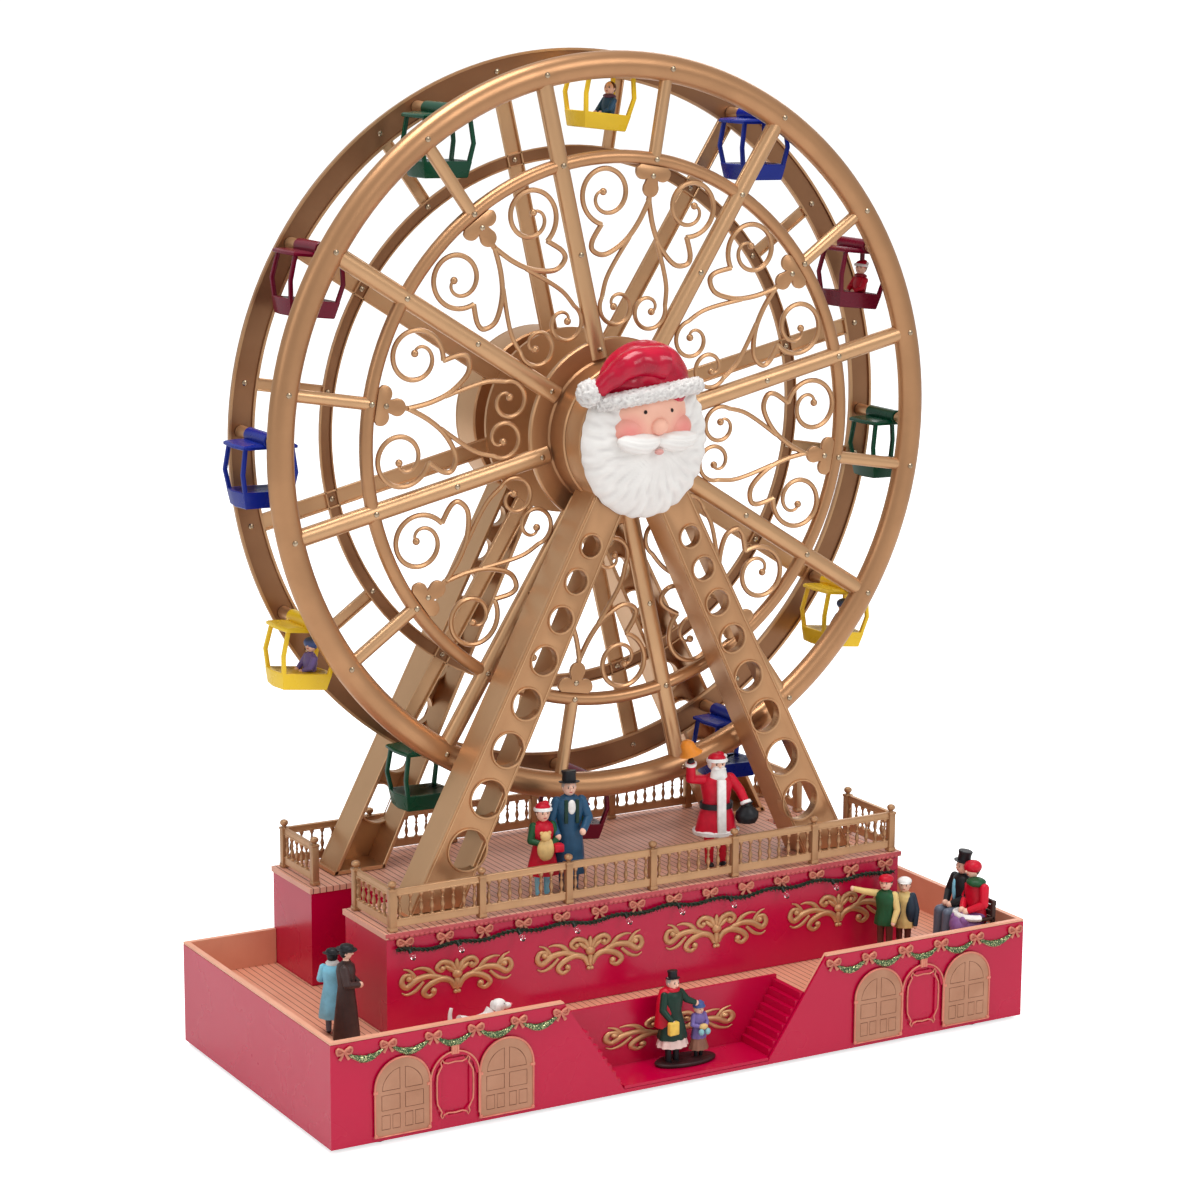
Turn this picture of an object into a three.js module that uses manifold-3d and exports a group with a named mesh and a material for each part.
// Christmas village ferris wheel, in millimetres. +Z is up and the front faces -Y.
// The origin is on the ground, under the middle of the base.
import * as THREE from 'three';
import { mergeVertices } from 'three/addons/utils/BufferGeometryUtils.js';
import Module from 'manifold-3d';

const wasm = await Module();
wasm.setup();

// Fits and cutting
const SEAT_GAP = 0.3;
const RUN_GAP = 0.4;
const OVERRUN = 2;
const EMBED = 0.6;
const MERGE_DISTANCE = 0.0005;

// Base
const BASE_WIDTH = 441;
const BASE_DEPTH = 194;
const BASE_HEIGHT = 58;
const TRAY_WALL = 1.6;
const BOTTOM_THICK = 2;
const FOOT_HEIGHT = 2.5;
const FOOT_RADIUS = 9;
const FOOT_INSET_X = 30.5;
const FOOT_INSET_Y = 14;
const TERRACE_Z = 37.6;
const TERRACE_THICK = 2;
const TERRACE_OPEN_Y = -20;
const LINER_WALL = 1.2;
const LIP_THICK = 1.2;

// Arched doors in relief on the front wall, in two pairs with an arch between
const RELIEF_DEPTH = 1.2;
const DOOR_PAIR_X = 149.5;
const DOOR_SPREAD = 30.6;
const DOOR_WIDTH = 31;
const DOOR_SILL = 3;
const DOOR_HEIGHT = 41;
const DOOR_FRAME = 2.6;
const DOOR_STILE = 2;
const ARCH_SPRING_Z = 28;
const ARCH_BAND = 2.2;
const KEYSTONE_SIZE = 4.6;
const CARTOUCHE_WIDTH = 20;
const CARTOUCHE_LOW_Z = 6;
const CARTOUCHE_HIGH_Z = 38.5;
const CARTOUCHE_BAND = 1.6;

// Entrance recess with a stair at each end
const ENTRANCE_HALF = 44.8;
const ENTRANCE_SLOPE_SHARE = 0.68;
const ENTRANCE_DEPTH = 30;
const ENTRANCE_FLOOR_THICK = 1.7;
const ENTRANCE_BACK_WALL = 1.6;
const ENTRANCE_CURB = 2.4;
const STEP_COUNT = 8;
const STAIR_SHELL = 1.9;

// Raised deck on its plinth, narrower in the middle of both ends
const PLINTH_HALF = 164.8;
const PLINTH_WAIST = 132;
const PLINTH_FRONT_Y = -49.2;
const NOTCH_FRONT_Y = 1.5;
const NOTCH_REAR_Y = 45.7;
const PLINTH_WALL = 2.4;
const DECK_Z = 94.5;
const DECK_THICK = 3;
const DECK_OVERHANG = 1.2;

// Railings
const RAIL_INSET_X = 4.4;
const RAIL_FRONT_Y = -47.2;
const RAIL_REAR_Y = 91;
const RETURN_FRONT_Y = -3;
const RETURN_REAR_Y = 50.4;
const RAIL_BAYS = 6;
const POST_SIZE = 4;
const POST_HEIGHT = 22.8;
const FINIAL_RADIUS = 2.5;
const RAIL_DEPTH = 2.4;
const TOP_RAIL_LOW = 19.7;
const TOP_RAIL_HIGH = 23.5;
const BOTTOM_RAIL_LOW = 2.3;
const BOTTOM_RAIL_HIGH = 6.9;
const BALUSTER_PITCH = 6.4;
const BALUSTER_RADIUS = 1;

// Wheel, two mirrored frames about the middle plane
const WHEEL_DECK_GAP = 50.5;
const WHEEL_MID_Y = 25.5;
const FRAME_BACK = 24.5;
const WHEEL_RADIUS = 200;
const RING_HALF = 7.4;
const RING_CREST = 7;
const INNER_RING_RADIUS = 150.6;
const INNER_RING_HALF = 3.4;
const INNER_RING_CREST = 4.2;
const SPOKE_COUNT = 8;
const SPOKE_ANGLE = THREE.MathUtils.degToRad(12.96);
const SPOKE_INNER_RADIUS = 40;
const SPOKE_HUB_HALF = 5.3;
const SPOKE_RIM_HALF = 4.2;
const SPOKE_CREST = 4.4;
const SHORT_SPOKE_HALF = 3.4;
const SHORT_SPOKE_CREST = 4;
const FLANGE_RADIUS = 52.6;
const FLANGE_THICK = 3;
const CUP_RADIUS = 41;
const CUP_DEPTH = 16;
const CUP_WALL = 2.5;
const HUB_CORE_RADIUS = 10;
const HUB_CORE_LENGTH = 8.3;
const PEG_RADIUS = 3.2;
const PEG_BOSS_GAP = 0.5;
const PIN_RADIUS = 1.8;
const RING_SEGMENTS = 36;
const INNER_RING_SEGMENTS = 28;
const HUB_SEGMENTS = 20;

// Scroll panels between the main spokes
const SCROLL_HALF = 1.4;
const SCROLL_CREST = 3;
const SCROLL_BACK = 1;
const FOIL_RADIUS = 4.6;
const FOIL_PAIR_RADIUS = 143.5;
const FOIL_PAIR_SIDE = 6.2;
const FOIL_TIP_RADIUS = 134.5;
const STEM_FOOT_RADIUS = 128;
const BRANCH_RADIUS = 107;
const BRANCH_SIDE = 8.6;
const LARGE_CURL_RADIUS = 128.3;
const LARGE_CURL_SIDE = 27.8;
const LARGE_CURL_SIZE = 13.2;
const SMALL_CURL_RADIUS = 68.3;
const SMALL_CURL_SIDE = 10.7;
const SMALL_CURL_SIZE = 9.5;
const LARGE_CURL_OPEN_SHARE = 0.286;
const LARGE_CURL_CLOSE_SHARE = 0.857;
const SMALL_CURL_OPEN_SHARE = 0.105;
const SMALL_CURL_CLOSE_SHARE = 0.79;

// Gondolas, hung on pins between the two frames
const GONDOLA_COUNT = 12;
const GONDOLA_PHASE = THREE.MathUtils.degToRad(-2.04);
const LOADED_TILT = THREE.MathUtils.degToRad(6.5);
const EMPTY_TILT = THREE.MathUtils.degToRad(1);
const BOSS_RADIUS = 4;
const BOSS_OVERHANG = 0.2;
const ROOF_HALF_X = 15.5;
const ROOF_TIP_X = 17;
const ROOF_HALF_Y = 13.4;
const ROOF_TOP = 2.2;
const ROOF_THICK = 2;
const GONDOLA_POST = 2.2;
const POST_TOP_X = 13.3;
const POST_BEND_X = 15.2;
const POST_FOOT_X = 13.2;
const POST_TOP_Y = 10.8;
const POST_BEND_Y = 11.8;
const POST_FOOT_Y = 10.3;
const POST_BEND_DROP = 17.5;
const RIM_DROP = 27;
const TUB_DROP = 36;
const RIM_HALF_X = 14.5;
const RIM_TIP_X = 16.5;
const RIM_HALF_Y = 11.6;
const TUB_BOTTOM_SHARE = 0.885;
const TUB_WALL = 2.5;
const TUB_FLOOR = 1.6;

// Passengers
const PASSENGER_HEIGHT = 24;
const PASSENGER_X = 7.6;
const RIDER_DEPTH_SHARE = 0.7;

// Legs
const LEG_FRONT_Y = -32;
const LEG_REAR_Y = -10;
const LEG_PLATE = 2.4;
const LEG_FLANGE = 2.2;
const LEG_FOOT_INNER = 111.8;
const LEG_FOOT_OUTER = 143.9;
const LEG_TOP_INNER = -7.3;
const LEG_TOP_OUTER = 14.4;
const LEG_HOLE_COUNT = 8;
const LEG_HOLE_LOW_X = 107.4;
const LEG_HOLE_LOW_RISE = 33.7;
const LEG_HOLE_HIGH_X = 31.5;
const LEG_HOLE_HIGH_DROP = 56.4;
const LEG_HOLE_LARGE = 22.5;
const LEG_HOLE_SMALL = 12;
const LEG_HOLE_PLACE_SHARES = [0.792, 0.208];
const LEG_HOLE_GROWTH_SHARES = [0.6, 0.4];

// Hub drum at the front and drive housing at the rear
const DRUM_RADIUS = 40;
const DRUM_FRONT_Y = -33;
const DRUM_WALL = 2.5;
const HOUSING_RADIUS = 50;
const HOUSING_DEPTH = 20.5;
const COVER_THICK = 2.2;
const AXLE_RADIUS = 4;
const BUSH_WALL = 2.7;
const BEARING_CORE_RADIUS = 12;
const BEARING_LENGTH = 10.5;
const GEAR_TEETH = 18;
const PINION_TEETH = 6;
const GEAR_PITCH_RADIUS = 24;
const TOOTH_REACH = 1.1;
const TOOTH_ROOT = 1.7;
const MESH_SLACK = 0.4;
const GEAR_THICK = 5;
const GEAR_PLATE_GAP = 1.5;
const MOTOR_RADIUS = 13;
const MOTOR_GAP = 1;
const MOTOR_SHAFT_RADIUS = 1.5;
const MOTOR_NOSE_RADIUS = 4.5;

// Bearded face with a stocking cap, in relief on the drum
const FACE_RISE = 13;
const FACE_HALF = 26;
const FACE_DEPTH = 17;
const BEARD_HALF = 39.5;
const BEARD_DROP = 43.5;
const BEARD_TOP = 20;
const BEARD_DEPTH = 13;
const BEARD_FRINGE = 0.3;
const BEARD_RING_SHARES = [[0.96, 0], [1, 0.3], [0.8, 0.8], [0.4, 1]];
const MOUSTACHE_HALF = 14;
const MOUSTACHE_THICK = 6;
const MOUSTACHE_TURN = THREE.MathUtils.degToRad(11.5);
const NOSE_RADIUS = 4.6;
const CAP_HALF = 28;
const CAP_RISE = 31;
const CAP_HEIGHT = 23;
const TRIM_RISE = 26.5;
const TRIM_HALF = 31;
const TRIM_RADIUS = 5;
const POMPOM_RADIUS = 7.5;
const POMPOM_X = -36;
const POMPOM_RISE = 28;

// Switch, inlet and circuit board
const SWITCH_INSET = 70.5;
const SWITCH_Z = 20;
const SWITCH_TRAVEL = 4;
const SWITCH_STEM = 4;
const SWITCH_HEIGHT = 3.4;
const SWITCH_REACH = 2.4;
const SWITCH_FLANGE = 9;
const SWITCH_FLANGE_THICK = 1.6;
const JACK_INSET = 45.5;
const JACK_RADIUS = 4;
const JACK_LENGTH = 12;
const JACK_FLANGE = 5.4;
const JACK_FLANGE_THICK = 1;
const JACK_BORE = 2.6;
const JACK_BORE_DEPTH = 9;
const BOARD_INSET_X = 85.5;
const BOARD_INSET_Y = 57;
const BOARD_LENGTH = 60;
const BOARD_WIDTH = 40;
const BOARD_THICK = 1.6;
const STANDOFF_HEIGHT = 5;
const STANDOFF_SIZE = 5;

// Figures: heights, and places from the middle of the deck, the plinth's front or the base's ends and front
const ADULT_HEIGHT = 70.2;
const ADULT_X = -43;
const GIRL_HEIGHT = 54.6;
const GIRL_X = -60;
const DECK_PAIR_INSET = 20.2;
const RINGER_HEIGHT = 69.2;
const RINGER_X = 55;
const RINGER_INSET = 24.2;
const TERRACE_ADULT_HEIGHT = 56.7;
const TERRACE_LADY_HEIGHT = 49.5;
const TERRACE_PAIR_INSET_X = 32.5;
const TERRACE_ADULT_INSET_Y = 49.4;
const TERRACE_LADY_INSET_Y = 66;
const DOG_LENGTH = 28;
const DOG_HEIGHT = 20;
const DOG_INSET_X = 98.5;
const DOG_INSET_Y = 22;
const MOTHER_HEIGHT = 54.5;
const MOTHER_X = -6;
const CHILD_HEIGHT = 34.6;
const CHILD_X = 11;
const ENTRANCE_PAIR_INSET = 17;
const OVAL_BASE_HALF_X = 21;
const OVAL_BASE_HALF_Y = 10;
const OVAL_BASE_THICK = 2;
const BOY_HEIGHT = 52.1;
const SHORTER_BOY_SHARE = 0.93;
const BOY_INSET_X = 70.5;
const BOY_MIDDLE_OFFSET = 5.1;
const BOY_SPACING = 13;
const BENCH_INSET_X = 21.5;
const BENCH_INSET_Y = 25;
const BENCH_LENGTH = 36;
const BENCH_DEPTH = 13;
const BENCH_SEAT_HEIGHT = 17;
const BENCH_BACK_HEIGHT = 31;
const BENCH_BOARD = 2;
const SITTER_HEIGHT = 40;
const SITTER_SPACING = 17;

// Colours
const GOLD = '#b08454';
const RED = '#c4193e';
const TAN = '#cd8c6e';
const DECK = '#be826e';
const BLACK = '#1b1b1d';
const STEEL = '#a9adb2';
const BRASS = '#b79a55';
const WHITE = '#e6e0dc';
const NYLON = '#e8e4d8';
const GREEN_BOARD = '#1f6b3a';
const GONDOLA_COLOURS = ['#005037', '#78002d', '#003f96', '#f5cd28'];

// Derived places
const BASE_HALF_X = BASE_WIDTH / 2;
const BASE_HALF_Y = BASE_DEPTH / 2;
const BASE_FRONT_Y = -BASE_HALF_Y;
const AXLE_Z = DECK_Z + WHEEL_DECK_GAP + WHEEL_RADIUS;
const SWITCH_X = BASE_HALF_X - SWITCH_INSET;
const JACK_X = BASE_HALF_X - JACK_INSET;
const BOARD_X = BASE_HALF_X - BOARD_INSET_X;
const BOARD_Y = BASE_HALF_Y - BOARD_INSET_Y;
const ADULT_PLACE = [ADULT_X, PLINTH_FRONT_Y + DECK_PAIR_INSET];
const GIRL_PLACE = [GIRL_X, PLINTH_FRONT_Y + DECK_PAIR_INSET];
const RINGER_PLACE = [RINGER_X, PLINTH_FRONT_Y + RINGER_INSET];
const TERRACE_ADULT_PLACE = [TERRACE_PAIR_INSET_X - BASE_HALF_X, BASE_FRONT_Y + TERRACE_ADULT_INSET_Y];
const TERRACE_LADY_PLACE = [TERRACE_PAIR_INSET_X - BASE_HALF_X, BASE_FRONT_Y + TERRACE_LADY_INSET_Y];
const DOG_PLACE = [DOG_INSET_X - BASE_HALF_X, BASE_FRONT_Y + DOG_INSET_Y];
const MOTHER_PLACE = [MOTHER_X, BASE_FRONT_Y + ENTRANCE_PAIR_INSET];
const CHILD_PLACE = [CHILD_X, BASE_FRONT_Y + ENTRANCE_PAIR_INSET];
const BOY_PLACE = [BASE_HALF_X - BOY_INSET_X, (BASE_FRONT_Y + PLINTH_FRONT_Y) / 2 + BOY_MIDDLE_OFFSET];
const BENCH_PLACE = [BASE_HALF_X - BENCH_INSET_X, BASE_FRONT_Y + BENCH_INSET_Y];
const TRAY_INNER_X = BASE_HALF_X - TRAY_WALL;
const TRAY_INNER_Y = BASE_HALF_Y - TRAY_WALL;
const LINER_OUTER_X = TRAY_INNER_X - SEAT_GAP;
const LINER_OUTER_Y = TRAY_INNER_Y - SEAT_GAP;
const ENTRANCE_TOP_HALF = ENTRANCE_HALF + ENTRANCE_SLOPE_SHARE * TERRACE_Z;
const ENTRANCE_FLOOR_LOW = BOTTOM_THICK + SEAT_GAP;
const ENTRANCE_FLOOR_Z = ENTRANCE_FLOOR_LOW + ENTRANCE_FLOOR_THICK;
const ENTRANCE_BACK_Y = -BASE_HALF_Y + ENTRANCE_DEPTH;
const PLINTH_TOP = DECK_Z - DECK_THICK - SEAT_GAP;
const RAIL_HALF_X = PLINTH_HALF - RAIL_INSET_X;
const DRUM_BACK_Y = WHEEL_MID_Y - FRAME_BACK - FLANGE_THICK - CUP_DEPTH - SEAT_GAP;
const HOUSING_FRONT_Y = 2 * WHEEL_MID_Y - DRUM_BACK_Y + SEAT_GAP;
const HOUSING_BACK_Y = HOUSING_FRONT_Y + HOUSING_DEPTH;
const BUSH_RADIUS = AXLE_RADIUS + SEAT_GAP + BUSH_WALL;
const BUSH_BORE = AXLE_RADIUS + SEAT_GAP;
const BEARING_BORE = BUSH_RADIUS + SEAT_GAP;
const GEAR_FRONT_Y = HOUSING_FRONT_Y + DRUM_WALL + GEAR_PLATE_GAP;
const PINION_PITCH_RADIUS = GEAR_PITCH_RADIUS * PINION_TEETH / GEAR_TEETH;
const RING_FLAT_SHARE = Math.cos(Math.PI / INNER_RING_SEGMENTS);
const SCROLL_BASE_RADIUS = (INNER_RING_RADIUS - INNER_RING_HALF) * RING_FLAT_SHARE - SEAT_GAP;
const GEAR_DISTANCE = GEAR_PITCH_RADIUS + PINION_PITCH_RADIUS + MESH_SLACK;

// Solids from geometries, and meshes from solids
function toSolid(geometry) {
  const bare = new THREE.BufferGeometry();
  bare.setAttribute('position', geometry.getAttribute('position'));
  if (geometry.index) bare.setIndex(geometry.index);
  const merged = mergeVertices(bare, MERGE_DISTANCE);
  const position = merged.getAttribute('position');
  const corners = Array.from(merged.index.array);
  const kept = [];
  let volume = 0;
  for (let i = 0; i < corners.length; i += 3) {
    const [a, b, c] = corners.slice(i, i + 3);
    if (a === b || b === c || c === a) continue;
    kept.push(a, b, c);
    const [p, q, r] = [a, b, c].map((k) => new THREE.Vector3().fromBufferAttribute(position, k));
    volume += p.dot(q.cross(r));
  }
  if (volume < 0) kept.reverse();
  return new wasm.Manifold(new wasm.Mesh({
    numProp: 3,
    vertProperties: Float32Array.from(position.array),
    triVerts: Uint32Array.from(kept),
  }));
}

function toGeometry(solid) {
  const mesh = solid.getMesh();
  const geometry = new THREE.BufferGeometry();
  geometry.setAttribute('position', new THREE.BufferAttribute(Float32Array.from(mesh.vertProperties), 3));
  geometry.setIndex(Array.from(mesh.triVerts));
  geometry.computeVertexNormals();
  return geometry;
}

const join = (...geometries) => geometries.map(asSolid).reduce((whole, next) => whole.add(next));
const cut = (from, ...tools) => tools.map(asSolid).reduce((rest, tool) => rest.subtract(tool), asSolid(from));
const asSolid = (shape) => (shape.isBufferGeometry ? toSolid(shape) : shape);

function piece(name, shape, [color, roughness, metalness]) {
  const material = new THREE.MeshStandardMaterial({ color, roughness, metalness });
  const mesh = new THREE.Mesh(toGeometry(asSolid(shape)), material);
  mesh.name = name;
  return mesh;
}

// Finishes as colour, roughness and metalness
const goldFinish = [GOLD, 0.38, 0.6];
const redFinish = [RED, 0.25, 0];
const plasticFinish = (colour) => [colour, 0.35, 0];
const paintFinish = (colour) => [colour, 0.5, 0];
const metalFinish = (colour) => [colour, 0.3, 1];

// Geometry helpers
function box(low, high) {
  const size = high.map((value, i) => value - low[i]);
  const middle = high.map((value, i) => (value + low[i]) / 2);
  return new THREE.BoxGeometry(...size).translate(...middle);
}

function outline(points) {
  return new THREE.Shape(points.map(([x, y]) => new THREE.Vector2(x, y)));
}

// A slab whose outline is drawn in X and Y
function slabUp(shape, low, high) {
  return new THREE.ExtrudeGeometry(shape, { depth: high - low, bevelEnabled: false }).translate(0, 0, low);
}

// A slab whose outline is drawn in X and Z
function slabBack(shape, front, back, curveSegments = 6) {
  const settings = { depth: back - front, bevelEnabled: false, curveSegments };
  return new THREE.ExtrudeGeometry(shape, settings).rotateX(Math.PI / 2).translate(0, back, 0);
}

// A body turned about an axis along Y, from radius and depth
function turned(points, segments) {
  const profile = points.concat([points[0]]);
  return new THREE.LatheGeometry(profile.map(([r, y]) => new THREE.Vector2(r, y)), segments);
}

// A body turned about an upright axis, from radius and height, starting and ending on the axis
function upright(points, segments) {
  const profile = points.map(([r, h]) => new THREE.Vector2(r, h));
  return new THREE.LatheGeometry(profile, segments).rotateX(Math.PI / 2);
}

function rodBack(radius, front, back, segments) {
  const rod = new THREE.CylinderGeometry(radius, radius, back - front, segments);
  return rod.translate(0, (front + back) / 2, 0);
}

// Rings of equal corner count, skinned one to the next and capped at both ends
function loft(rings) {
  const sides = rings[0].length;
  const position = rings.flat().flatMap((point) => point.toArray());
  const index = [];
  for (let ring = 0; ring + 1 < rings.length; ring += 1) {
    for (let side = 0; side < sides; side += 1) {
      const a = ring * sides + side;
      const b = ring * sides + (side + 1) % sides;
      index.push(a, b, b + sides, a, b + sides, a + sides);
    }
  }
  const last = (rings.length - 1) * sides;
  for (let side = 1; side + 1 < sides; side += 1) {
    index.push(0, side + 1, side, last, last + side, last + side + 1);
  }
  const geometry = new THREE.BufferGeometry();
  geometry.setAttribute('position', new THREE.Float32BufferAttribute(position, 3));
  geometry.setIndex(index);
  return geometry;
}

const mirrorX = (geometry) => geometry.clone().scale(-1, 1, 1);
const mirrorY = (geometry) => geometry.clone().scale(1, -1, 1);
const at = (x, z) => (geometry) => geometry.translate(x, 0, z);

// Base tray with the door reliefs
function archOutline(left, right, low, high, segments) {
  const middle = (left + right) / 2;
  const radius = (right - left) / 2;
  const points = [[left, low], [right, low]];
  for (let i = 0; i <= segments; i += 1) {
    const angle = Math.PI * i / segments;
    points.push([middle + radius * Math.cos(angle), high - radius + radius * Math.sin(angle)]);
  }
  return points;
}

function leafOutline(inner, outer, low, high, segments) {
  const radius = Math.abs(outer);
  const points = [[inner, low], [outer, low]];
  for (let i = 0; i <= segments; i += 1) {
    const angle = Math.PI / 2 * i / segments;
    const x = Math.sign(outer) * radius * Math.cos(angle);
    const beyond = Math.abs(x) < Math.abs(inner);
    const z = high - radius + Math.sqrt(radius ** 2 - inner ** 2);
    points.push(beyond ? [inner, z] : [x, high - radius + radius * Math.sin(angle)]);
    if (beyond) break;
  }
  return points;
}

function doorRelief(x) {
  const half = DOOR_WIDTH / 2;
  const top = DOOR_SILL + DOOR_HEIGHT;
  const front = -BASE_HALF_Y - RELIEF_DEPTH;
  const back = -BASE_HALF_Y + EMBED;
  let door = slabBack(outline(archOutline(-half, half, DOOR_SILL, top, 6)), front, back);
  for (const side of [-1, 1]) {
    const inner = side * DOOR_STILE / 2;
    const outer = side * (half - DOOR_FRAME);
    const leaf = leafOutline(inner, outer, DOOR_SILL + DOOR_FRAME, top - DOOR_FRAME, 3);
    door = cut(door, slabBack(outline(leaf), front - OVERRUN, back + OVERRUN));
  }
  return toGeometry(door).translate(x, 0, 0);
}

function archRelief(x) {
  const outerRadius = DOOR_SPREAD - DOOR_WIDTH / 2 - SEAT_GAP;
  const innerRadius = outerRadius - ARCH_BAND;
  const band = [];
  const steps = 6;
  for (let i = 0; i <= steps; i += 1) {
    const angle = Math.PI * i / steps;
    band.push([outerRadius * Math.cos(angle), ARCH_SPRING_Z + outerRadius * Math.sin(angle)]);
  }
  for (let i = steps; i >= 0; i -= 1) {
    const angle = Math.PI * i / steps;
    band.push([innerRadius * Math.cos(angle), ARCH_SPRING_Z + innerRadius * Math.sin(angle)]);
  }
  const front = -BASE_HALF_Y - RELIEF_DEPTH;
  const back = -BASE_HALF_Y + EMBED;
  const keyZ = ARCH_SPRING_Z + outerRadius - ARCH_BAND;
  const keystone = box([-KEYSTONE_SIZE / 2, front, keyZ], [KEYSTONE_SIZE / 2, back, keyZ + KEYSTONE_SIZE]);
  return join(slabBack(outline(band), front, back).translate(x, 0, 0), keystone.translate(x, 0, 0));
}

function cartoucheRelief(x) {
  const half = CARTOUCHE_WIDTH / 2;
  const frame = outline(cartouchePoints(half, CARTOUCHE_LOW_Z, CARTOUCHE_HIGH_Z));
  frame.holes.push(outline(cartouchePoints(
    half - CARTOUCHE_BAND, CARTOUCHE_LOW_Z + CARTOUCHE_BAND, CARTOUCHE_HIGH_Z - CARTOUCHE_BAND,
  )));
  return slabBack(frame, -BASE_HALF_Y - RELIEF_DEPTH, -BASE_HALF_Y + EMBED).translate(x, 0, 0);
}

function cartouchePoints(half, low, high) {
  const corner = half / 2;
  return [
    [-corner, low], [corner, low], [half, low + corner], [half, high - corner],
    [corner, high], [-corner, high], [-half, high - corner], [-half, low + corner],
  ];
}

// The slanted opening in the front walls, wider towards the top
function entranceOpening(low, back) {
  const high = BASE_HEIGHT + OVERRUN;
  const half = (z) => ENTRANCE_HALF + ENTRANCE_SLOPE_SHARE * z;
  const shape = outline([[-half(low), low], [half(low), low], [half(high), high], [-half(high), high]]);
  return slabBack(shape, -BASE_HALF_Y - OVERRUN, back);
}

function rearNotch(low) {
  const half = PLINTH_HALF + SEAT_GAP;
  return box([-half, TRAY_INNER_Y - OVERRUN, low], [half, BASE_HALF_Y + OVERRUN, BASE_HEIGHT + OVERRUN]);
}

function baseTray() {
  const wallTop = BASE_HEIGHT - LIP_THICK - SEAT_GAP;
  const outer = box([-BASE_HALF_X, -BASE_HALF_Y, 0], [BASE_HALF_X, BASE_HALF_Y, wallTop]);
  const inner = box([-TRAY_INNER_X, -TRAY_INNER_Y, -OVERRUN], [TRAY_INNER_X, TRAY_INNER_Y, wallTop + OVERRUN]);
  const slotHalf = (SWITCH_STEM + SWITCH_TRAVEL) / 2 + RUN_GAP;
  const slotRise = SWITCH_HEIGHT / 2 + RUN_GAP;
  const slot = box(
    [SWITCH_X - slotHalf, TRAY_INNER_Y - OVERRUN, SWITCH_Z - slotRise],
    [SWITCH_X + slotHalf, BASE_HALF_Y + OVERRUN, SWITCH_Z + slotRise],
  );
  const jackHole = at(JACK_X, SWITCH_Z)(
    rodBack(JACK_RADIUS + SEAT_GAP, TRAY_INNER_Y - OVERRUN, BASE_HALF_Y + OVERRUN, 8),
  );
  const opening = entranceOpening(BOTTOM_THICK, -TRAY_INNER_Y + OVERRUN);
  let tray = cut(outer, inner, opening, rearNotch(TERRACE_Z), slot, jackHole);
  for (const side of [-1, 1]) {
    const middle = side * DOOR_PAIR_X;
    tray = join(tray, archRelief(middle), cartoucheRelief(middle));
    tray = join(tray, doorRelief(middle - DOOR_SPREAD), doorRelief(middle + DOOR_SPREAD));
  }
  return tray;
}

function terraceLiner() {
  const low = TERRACE_Z - TERRACE_THICK;
  const outer = box([-LINER_OUTER_X, -LINER_OUTER_Y, low], [LINER_OUTER_X, LINER_OUTER_Y, BASE_HEIGHT]);
  const lip = box([-BASE_HALF_X, -BASE_HALF_Y, BASE_HEIGHT - LIP_THICK], [BASE_HALF_X, BASE_HALF_Y, BASE_HEIGHT]);
  const innerX = LINER_OUTER_X - LINER_WALL;
  const innerY = LINER_OUTER_Y - LINER_WALL;
  const inner = box([-innerX, -innerY, TERRACE_Z], [innerX, innerY, BASE_HEIGHT + OVERRUN]);
  const endX = PLINTH_HALF + SEAT_GAP;
  const openEnd = box([endX, TERRACE_OPEN_Y, TERRACE_Z], [innerX, innerY, BASE_HEIGHT + OVERRUN]);
  const rest = cut(inner, openEnd, mirrorX(openEnd));
  const holeHalf = ENTRANCE_TOP_HALF + SEAT_GAP;
  const holeBack = ENTRANCE_BACK_Y + ENTRANCE_BACK_WALL + SEAT_GAP;
  const hole = box([-holeHalf, -BASE_HALF_Y, low - OVERRUN], [holeHalf, holeBack, TERRACE_Z + EMBED]);
  const opening = entranceOpening(TERRACE_Z, -innerY + OVERRUN);
  const notch = rearNotch(TERRACE_Z).translate(0, -LINER_WALL, 0);
  return cut(join(outer, lip), openEnd, mirrorX(openEnd), rest, hole, opening, notch);
}

// Steps climb outward along the slant of the front opening
function entranceSteps() {
  const rise = (TERRACE_Z - ENTRANCE_FLOOR_Z) / STEP_COUNT;
  const slope = ENTRANCE_SLOPE_SHARE;
  const nosing = (z) => ENTRANCE_HALF + slope * z;
  const right = [];
  for (let step = 0; step < STEP_COUNT; step += 1) {
    const z = ENTRANCE_FLOOR_Z + step * rise;
    right.push([nosing(z), z], [nosing(z), z + rise]);
  }
  const shell = STAIR_SHELL;
  right.push([ENTRANCE_TOP_HALF, TERRACE_Z]);
  right.push([ENTRANCE_TOP_HALF, TERRACE_Z - shell / slope]);
  right.push([nosing(ENTRANCE_FLOOR_LOW) + shell, ENTRANCE_FLOOR_LOW]);
  const left = right.map(([x, z]) => [-x, z]).reverse();
  const stairs = slabBack(outline(right.concat(left)), -LINER_OUTER_Y, ENTRANCE_BACK_Y + EMBED);
  const sillHalf = nosing(ENTRANCE_FLOOR_LOW) - SEAT_GAP;
  const tongue = box(
    [-sillHalf, -BASE_HALF_Y, ENTRANCE_FLOOR_LOW],
    [sillHalf, -LINER_OUTER_Y + EMBED, ENTRANCE_FLOOR_Z],
  );
  const back = box(
    [-ENTRANCE_TOP_HALF, ENTRANCE_BACK_Y, ENTRANCE_FLOOR_LOW],
    [ENTRANCE_TOP_HALF, ENTRANCE_BACK_Y + ENTRANCE_BACK_WALL, TERRACE_Z + ENTRANCE_CURB],
  );
  return join(stairs, tongue, back);
}

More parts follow.
